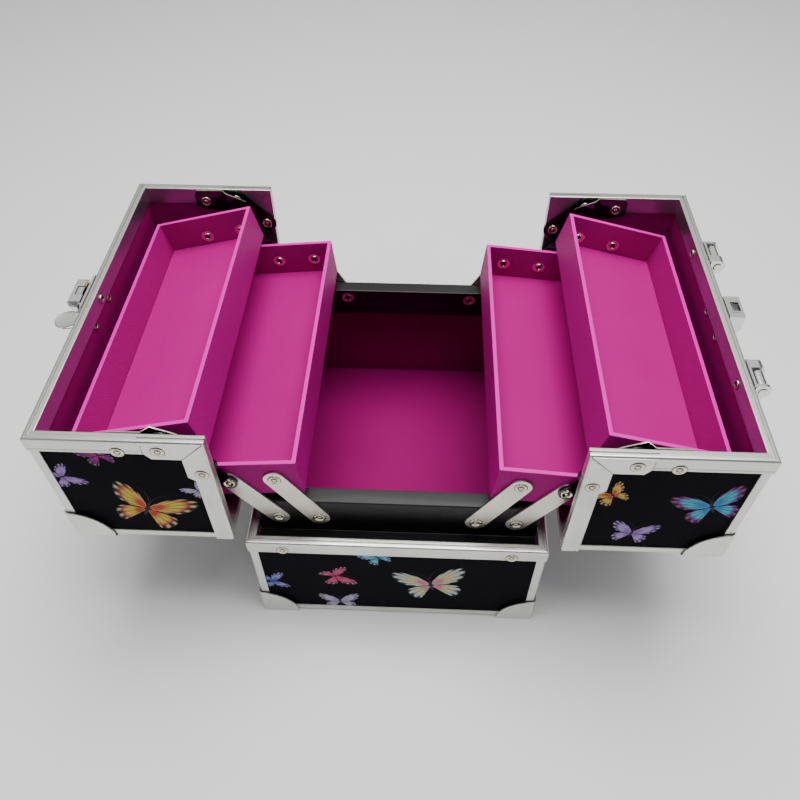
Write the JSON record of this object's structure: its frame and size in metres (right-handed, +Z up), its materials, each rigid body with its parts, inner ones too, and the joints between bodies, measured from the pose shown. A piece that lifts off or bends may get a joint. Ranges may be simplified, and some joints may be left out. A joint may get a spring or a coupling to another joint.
{
  "type": "makeup train case",
  "caption": "Box-shaped cosmetics case that splits at the top into side lids, with cantilever trays rising on arms over a deep base.",
  "frame": {"origin": "middle of the underside of the base, on the surface that the case stands on", "axes": "+X towards the lid with the handle, +Y from the front to the back, +Z up"},
  "size_m": [0.4488, 0.2522, 0.2021],
  "materials": {
    "panel_fabric": "fine woven navy-black cloth with a printed butterfly pattern",
    "lining": "magenta ribbed satin lining",
    "aluminium": "satin anodised extrusion",
    "black_metal": "gloss black enamel",
    "arm_metal": "satin nickel",
    "nickel": "bright nickel plate",
    "tray": "magenta lined tray",
    "grip": "moulded black plastic"
  },
  "bodies": {
    "base": {"base_casing": "panel_fabric", "base_lining": "lining", "base_frame": "aluminium", "base_bar_front": "black_metal", "base_bar_back": "black_metal", "base_corner_left_front": "nickel", "base_corner_left_back": "nickel", "base_corner_right_front": "nickel", "base_corner_right_back": "nickel", "left_hinge_base_leaf": "nickel", "left_hinge_pin": "nickel", "right_hinge_base_leaf": "nickel", "right_hinge_pin": "nickel"},
    "left_lid": {"left_lid_casing": "panel_fabric", "left_lid_lining": "lining", "left_lid_frame": "aluminium", "left_hinge_lid_leaf": "nickel", "left_lid_corner_front": "nickel", "left_lid_corner_back": "nickel", "left_gusset_front": "black_metal", "left_gusset_back": "black_metal", "lock_body": "nickel"},
    "left_inner_arm": {"left_inner_arm_front": "arm_metal", "left_inner_arm_back": "arm_metal"},
    "left_outer_arm": {"left_outer_arm_front": "arm_metal", "left_outer_arm_back": "arm_metal"},
    "left_inner_strap": {"left_inner_strap_front": "black_metal", "left_inner_strap_back": "black_metal"},
    "left_outer_strap": {"left_outer_strap_front": "black_metal", "left_outer_strap_back": "black_metal"},
    "left_lid_strap": {"left_lid_strap_front": "black_metal", "left_lid_strap_back": "black_metal"},
    "left_lower_tray": {"left_lower_tray": "tray"},
    "left_upper_tray": {"left_upper_tray": "tray"},
    "right_lid": {"right_lid_casing": "panel_fabric", "right_lid_lining": "lining", "right_lid_frame": "aluminium", "right_hinge_lid_leaf": "nickel", "right_lid_corner_front": "nickel", "right_lid_corner_back": "nickel", "right_gusset_front": "black_metal", "right_gusset_back": "black_metal", "strike_box": "nickel", "handle_mount_front": "nickel", "handle_mount_back": "nickel"},
    "right_inner_arm": {"right_inner_arm_front": "arm_metal", "right_inner_arm_back": "arm_metal"},
    "right_outer_arm": {"right_outer_arm_front": "arm_metal", "right_outer_arm_back": "arm_metal"},
    "right_inner_strap": {"right_inner_strap_front": "black_metal", "right_inner_strap_back": "black_metal"},
    "right_outer_strap": {"right_outer_strap_front": "black_metal", "right_outer_strap_back": "black_metal"},
    "right_lid_strap": {"right_lid_strap_front": "black_metal", "right_lid_strap_back": "black_metal"},
    "right_lower_tray": {"right_lower_tray": "tray"},
    "right_upper_tray": {"right_upper_tray": "tray"},
    "handle": {"handle_bail": "nickel", "handle_grip": "grip"},
    "lock_bolt": {"lock_bolt": "nickel"}
  },
  "joints": [
    {"name": "left_lid_hinge", "type": "hinge", "parent": "base", "child": "left_lid", "pos_m": [-0.106, 0, 0.0962], "axis": [0, 1, 0], "range_deg": [0, 90]},
    {"name": "left_inner_arm_foot", "type": "hinge", "parent": "base", "child": "left_inner_arm", "pos_m": [-0.0513, 0, 0.1064], "axis": [0, 1, 0], "range_deg": [0, 74.58]},
    {"name": "left_outer_arm_foot", "type": "hinge", "parent": "base", "child": "left_outer_arm", "pos_m": [-0.0778, 0, 0.1064], "axis": [0, 1, 0], "range_deg": [0, 76.51]},
    {"name": "left_lower_tray_pivot", "type": "hinge", "parent": "left_outer_arm", "child": "left_lower_tray", "pos_m": [-0.1043, 0, 0.1451], "axis": [0, 1, 0], "range_deg": [-70.91, 0]},
    {"name": "left_inner_strap_foot", "type": "hinge", "parent": "left_lower_tray", "child": "left_inner_strap", "pos_m": [-0.1043, 0, 0.1451], "axis": [0, 1, 0], "range_deg": [0, 82.01]},
    {"name": "left_outer_strap_foot", "type": "hinge", "parent": "left_lower_tray", "child": "left_outer_strap", "pos_m": [-0.12998, 0, 0.14258], "axis": [0, 1, 0], "range_deg": [0, 85.72]},
    {"name": "left_upper_tray_pivot", "type": "hinge", "parent": "left_inner_strap", "child": "left_upper_tray", "pos_m": [-0.1296, 0, 0.177], "axis": [0, 1, 0], "range_deg": [-73.61, 0]},
    {"name": "left_lid_strap_pivot", "type": "hinge", "parent": "left_lid", "child": "left_lid_strap", "pos_m": [-0.157, 0, 0.192], "axis": [0, 1, 0], "range_deg": [0, 136.78]},
    {"name": "right_lid_hinge", "type": "hinge", "parent": "base", "child": "right_lid", "pos_m": [0.106, 0, 0.0962], "axis": [0, -1, 0], "range_deg": [0, 90]},
    {"name": "right_inner_arm_foot", "type": "hinge", "parent": "base", "child": "right_inner_arm", "pos_m": [0.0513, 0, 0.1064], "axis": [0, -1, 0], "range_deg": [0, 74.58]},
    {"name": "right_outer_arm_foot", "type": "hinge", "parent": "base", "child": "right_outer_arm", "pos_m": [0.0778, 0, 0.1064], "axis": [0, -1, 0], "range_deg": [0, 76.51]},
    {"name": "right_lower_tray_pivot", "type": "hinge", "parent": "right_outer_arm", "child": "right_lower_tray", "pos_m": [0.1043, 0, 0.1451], "axis": [0, -1, 0], "range_deg": [-70.91, 0]},
    {"name": "right_inner_strap_foot", "type": "hinge", "parent": "right_lower_tray", "child": "right_inner_strap", "pos_m": [0.1043, 0, 0.1451], "axis": [0, -1, 0], "range_deg": [0, 82.01]},
    {"name": "right_outer_strap_foot", "type": "hinge", "parent": "right_lower_tray", "child": "right_outer_strap", "pos_m": [0.12998, 0, 0.14258], "axis": [0, -1, 0], "range_deg": [0, 85.72]},
    {"name": "right_upper_tray_pivot", "type": "hinge", "parent": "right_inner_strap", "child": "right_upper_tray", "pos_m": [0.1296, 0, 0.177], "axis": [0, -1, 0], "range_deg": [-73.61, 0]},
    {"name": "right_lid_strap_pivot", "type": "hinge", "parent": "right_lid", "child": "right_lid_strap", "pos_m": [0.157, 0, 0.192], "axis": [0, -1, 0], "range_deg": [0, 136.78]},
    {"name": "handle_hinge", "type": "hinge", "parent": "right_lid", "child": "handle", "pos_m": [0.216, 0, 0.196], "axis": [0, -1, 0], "range_deg": [0, 95]},
    {"name": "lock_bolt_slide", "type": "slide", "parent": "left_lid", "child": "lock_bolt", "axis": [0, 0, 1], "range_m": [0, 0.004]}
  ],
  "couplings": [
    {"joint": "left_inner_arm_foot", "follows": "left_lid_hinge", "ratio": 0.82852},
    {"joint": "left_outer_arm_foot", "follows": "left_lid_hinge", "ratio": 0.85},
    {"joint": "left_lower_tray_pivot", "follows": "left_lid_hinge", "ratio": -0.78778},
    {"joint": "left_inner_strap_foot", "follows": "left_lid_hinge", "ratio": 0.91111},
    {"joint": "left_outer_strap_foot", "follows": "left_lid_hinge", "ratio": 0.95235},
    {"joint": "left_upper_tray_pivot", "follows": "left_lid_hinge", "ratio": -0.81778},
    {"joint": "left_lid_strap_pivot", "follows": "left_lid_hinge", "ratio": 1.5197},
    {"joint": "right_inner_arm_foot", "follows": "right_lid_hinge", "ratio": 0.82852},
    {"joint": "right_outer_arm_foot", "follows": "right_lid_hinge", "ratio": 0.85},
    {"joint": "right_lower_tray_pivot", "follows": "right_lid_hinge", "ratio": -0.78778},
    {"joint": "right_inner_strap_foot", "follows": "right_lid_hinge", "ratio": 0.91111},
    {"joint": "right_outer_strap_foot", "follows": "right_lid_hinge", "ratio": 0.95235},
    {"joint": "right_upper_tray_pivot", "follows": "right_lid_hinge", "ratio": -0.81778},
    {"joint": "right_lid_strap_pivot", "follows": "right_lid_hinge", "ratio": 1.5197}
  ]
}
